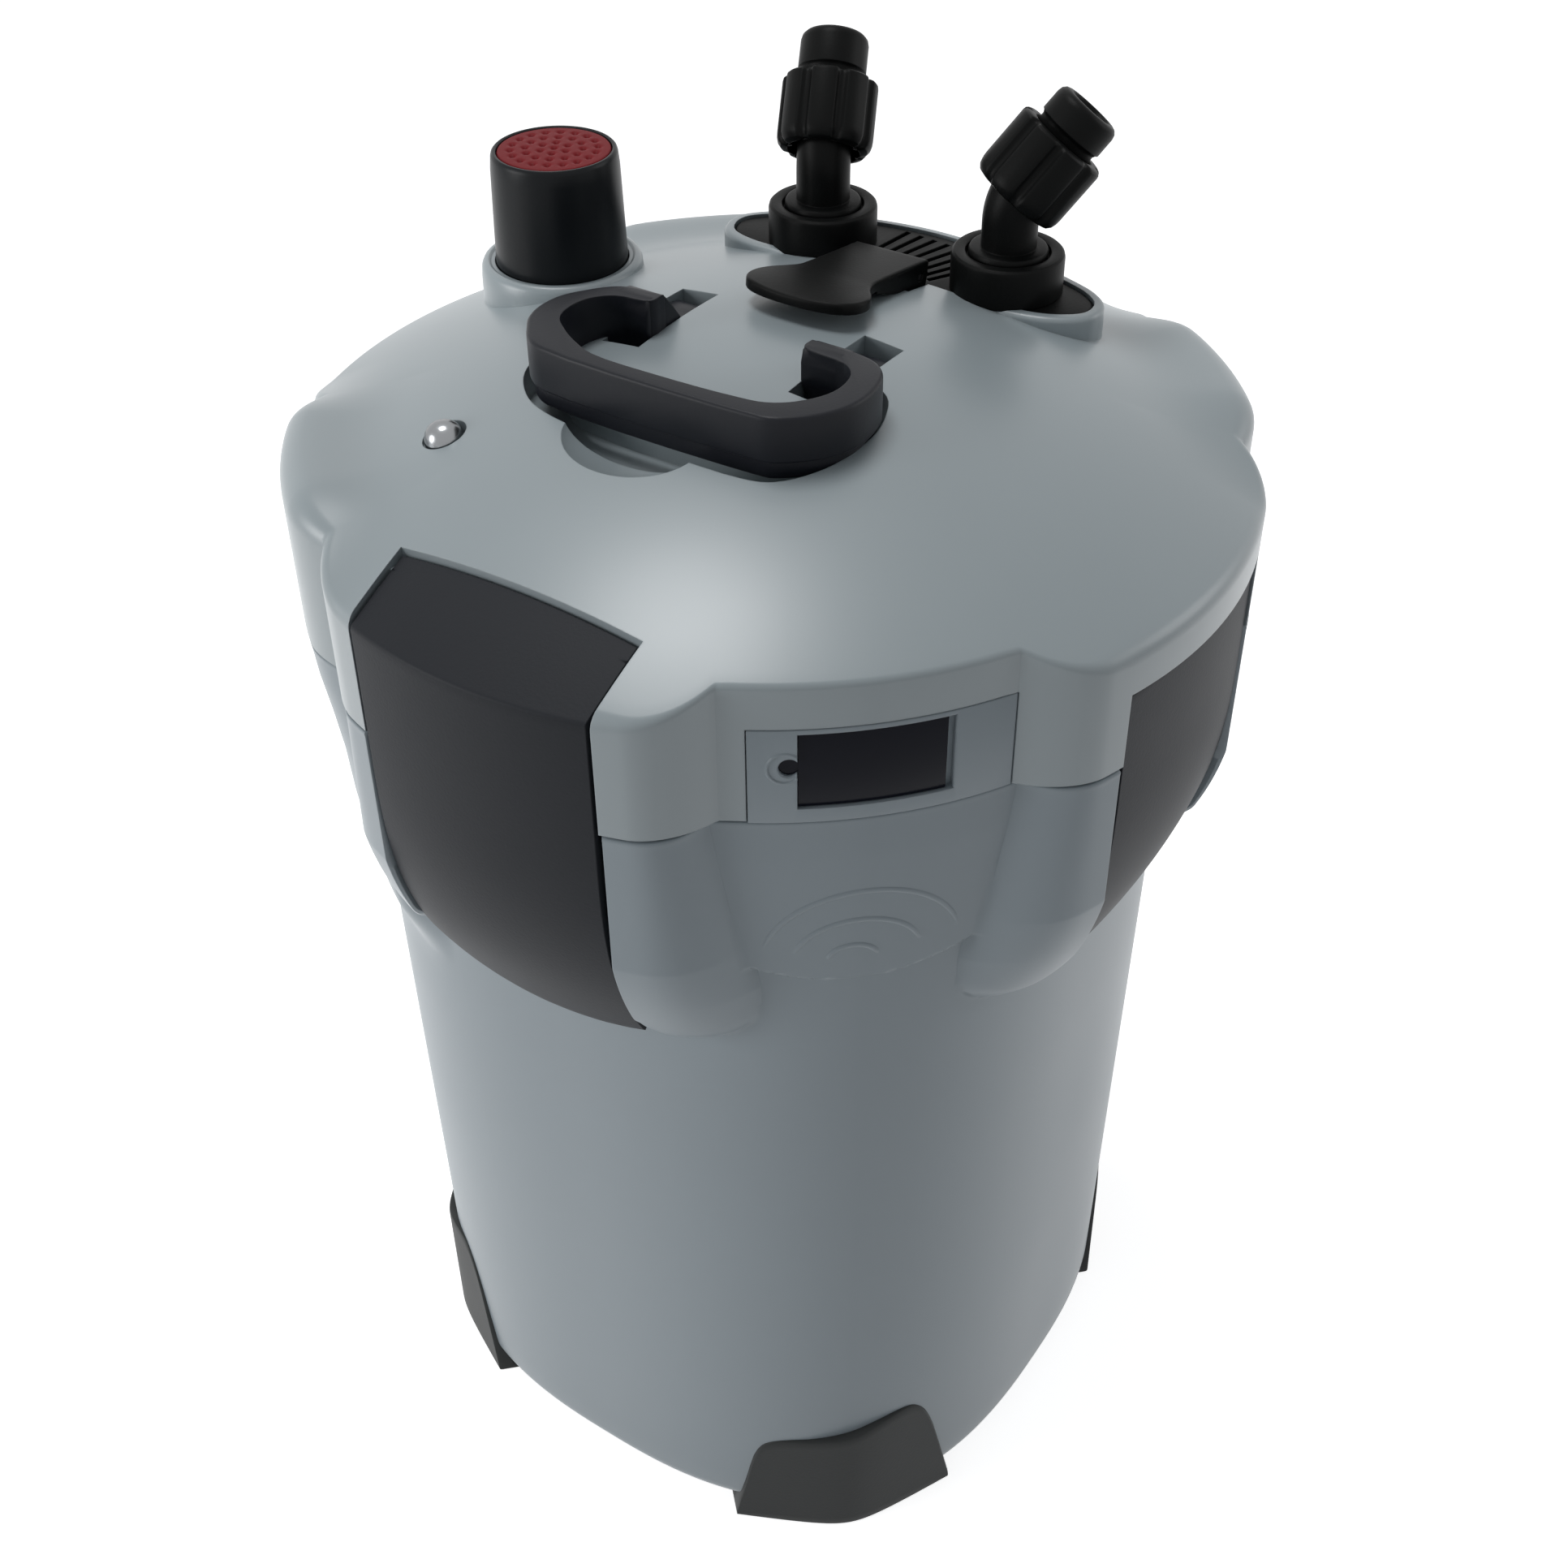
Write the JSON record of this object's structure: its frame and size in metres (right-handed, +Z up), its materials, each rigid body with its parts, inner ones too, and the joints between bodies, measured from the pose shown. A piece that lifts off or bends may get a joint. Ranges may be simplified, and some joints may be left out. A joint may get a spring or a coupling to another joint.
{
  "type": "canister filter",
  "caption": "Aquarium canister filter: rounded-square barrel with media baskets, domed pump head, side latches, folding handle, push primer and lever valve block with hose elbows.",
  "frame": {"origin": "on the barrel's vertical axis, at the floor that the feet stand on", "axes": "+Z up, -Y through the front latch, +X through the right latch, valve block towards +Y, priming knob towards -X"},
  "size_m": [0.279, 0.279, 0.443],
  "materials": {
    "shell_grey": "glossy moulded ABS, light grey with a green-blue tint",
    "foot_charcoal": "satin moulded plastic",
    "latch_charcoal": "fine-grained satin plastic",
    "handle_grey": "satin-gloss plastic",
    "knob_grey": "satin-gloss plastic",
    "cap_red": "soft matte plastic",
    "black_plastic": "black moulded plastic",
    "window_navy": "glossy dark insert",
    "screw_chrome": "polished",
    "pin_steel": "drawn wire",
    "seal_rubber": "moulded rubber",
    "inner_plastic": "moulded plastic",
    "base_plastic": "moulded plastic",
    "white_plastic": "moulded acetal",
    "ceramic": "unglazed ceramic",
    "blue_sponge": "open-cell foam",
    "pale_sponge": "fine open-cell foam",
    "floss": "polyester wadding",
    "core_steel": "laminated steel",
    "coil_copper": "enamelled copper windings",
    "magnet": "sintered ferrite"
  },
  "bodies": {
    "housing": {"barrel": "shell_grey", "foot_front_right": "foot_charcoal", "foot_back_right": "foot_charcoal", "foot_back_left": "foot_charcoal", "foot_front_left": "foot_charcoal", "sealing_ring": "seal_rubber", "basket_lower": "inner_plastic", "basket_middle": "inner_plastic", "basket_upper": "inner_plastic", "coarse_sponge": "blue_sponge", "ceramic_media": "ceramic", "fine_sponge": "pale_sponge", "filter_floss": "floss", "inlet_pipe": "inner_plastic", "head_cover": "shell_grey", "head_base": "base_plastic", "motor_core": "core_steel", "motor_coils": "coil_copper", "shaft_bushes": "ceramic", "ceramic_shaft": "ceramic", "impeller_cover": "inner_plastic", "outlet_duct": "inner_plastic", "badge_panel": "shell_grey", "front_window": "window_navy", "cover_screw": "screw_chrome", "cable_gland": "black_plastic", "handle_pins": "pin_steel", "priming_cylinder": "base_plastic", "priming_spring": "pin_steel", "check_valve_flap": "seal_rubber", "valve_block": "black_plastic", "lever_pin": "pin_steel", "collar_left": "black_plastic", "collar_right": "black_plastic", "port_orings": "seal_rubber", "latch_pins": "pin_steel"},
    "rotor": {"rotor_magnet": "magnet", "impeller": "white_plastic"},
    "handle": {"handle": "handle_grey"},
    "primer": {"priming_knob": "knob_grey", "priming_cap": "cap_red", "priming_rod": "white_plastic", "priming_seal": "seal_rubber"},
    "lever": {"valve_lever": "black_plastic"},
    "valve_link": {"valve_link": "pin_steel"},
    "valve_shaft": {"valve_shaft": "pin_steel", "valve_ball_left": "white_plastic", "valve_ball_right": "white_plastic"},
    "elbow_left": {"elbow_left": "black_plastic", "hose_tail_left": "black_plastic"},
    "elbow_right": {"elbow_right": "black_plastic", "hose_tail_right": "black_plastic"},
    "union_nut_left": {"union_nut_left": "black_plastic"},
    "union_nut_right": {"union_nut_right": "black_plastic"},
    "latch_front": {"latch_front": "latch_charcoal"},
    "latch_right": {"latch_right": "latch_charcoal"},
    "latch_back": {"latch_back": "latch_charcoal"},
    "latch_left": {"latch_left": "latch_charcoal"}
  },
  "joints": [
    {"name": "rotor_spin", "type": "hinge", "parent": "housing", "child": "rotor", "pos_m": [0.02, -0.015, 0.33], "axis": [0, 0, 1], "continuous": true},
    {"name": "handle_fold", "type": "hinge", "parent": "housing", "child": "handle", "pos_m": [-0.002, 0.008, 0.382], "axis": [-1, 0, 0], "range_deg": [0, 90]},
    {"name": "primer_push", "type": "slide", "parent": "housing", "child": "primer", "axis": [0, 0, -1], "range_m": [0, 0.025], "stiffness_N_per_m": 120, "springref_m": -0.01, "deforming": ["priming_spring"]},
    {"name": "lever_lift", "type": "hinge", "parent": "housing", "child": "lever", "pos_m": [0, 0.06, 0.3876], "axis": [-1, 0, 0], "range_deg": [0, 80]},
    {"name": "link_swing", "type": "hinge", "parent": "lever", "child": "valve_link", "pos_m": [0, 0.06386, 0.383], "axis": [-1, 0, 0], "range_deg": [-80, 0]},
    {"name": "valve_turn", "type": "hinge", "parent": "housing", "child": "valve_shaft", "pos_m": [0, 0.076, 0.357], "axis": [-1, 0, 0], "range_deg": [0, 80]},
    {"name": "elbow_left_swivel", "type": "hinge", "parent": "housing", "child": "elbow_left", "pos_m": [-0.0322, 0.076, 0.4], "axis": [0, 0, 1], "range_deg": [-105, 120]},
    {"name": "elbow_right_swivel", "type": "hinge", "parent": "housing", "child": "elbow_right", "pos_m": [0.0322, 0.076, 0.4], "axis": [0, 0, 1], "range_deg": [-120, 120]},
    {"name": "union_nut_left_turn", "type": "hinge", "parent": "elbow_left", "child": "union_nut_left", "pos_m": [-0.0322, 0.076, 0.41], "axis": [-0.2614, 0.5872, 0.766], "continuous": true},
    {"name": "union_nut_right_turn", "type": "hinge", "parent": "elbow_right", "child": "union_nut_right", "pos_m": [0.0322, 0.076, 0.41], "axis": [0.4777, 0.4301, 0.766], "continuous": true},
    {"name": "latch_front_swing", "type": "hinge", "parent": "housing", "child": "latch_front", "pos_m": [0, -0.11799, 0.243], "axis": [1, 0, 0], "range_deg": [0, 45]},
    {"name": "latch_right_swing", "type": "hinge", "parent": "housing", "child": "latch_right", "pos_m": [0.11799, 0, 0.243], "axis": [0, 1, 0], "range_deg": [0, 45]},
    {"name": "latch_back_swing", "type": "hinge", "parent": "housing", "child": "latch_back", "pos_m": [0, 0.11799, 0.243], "axis": [-1, 0, 0], "range_deg": [0, 45]},
    {"name": "latch_left_swing", "type": "hinge", "parent": "housing", "child": "latch_left", "pos_m": [-0.11799, 0, 0.243], "axis": [0, -1, 0], "range_deg": [0, 45]}
  ],
  "couplings": [
    {"joint": "valve_turn", "follows": "lever_lift", "ratio": 1},
    {"joint": "link_swing", "follows": "lever_lift", "ratio": -1}
  ]
}
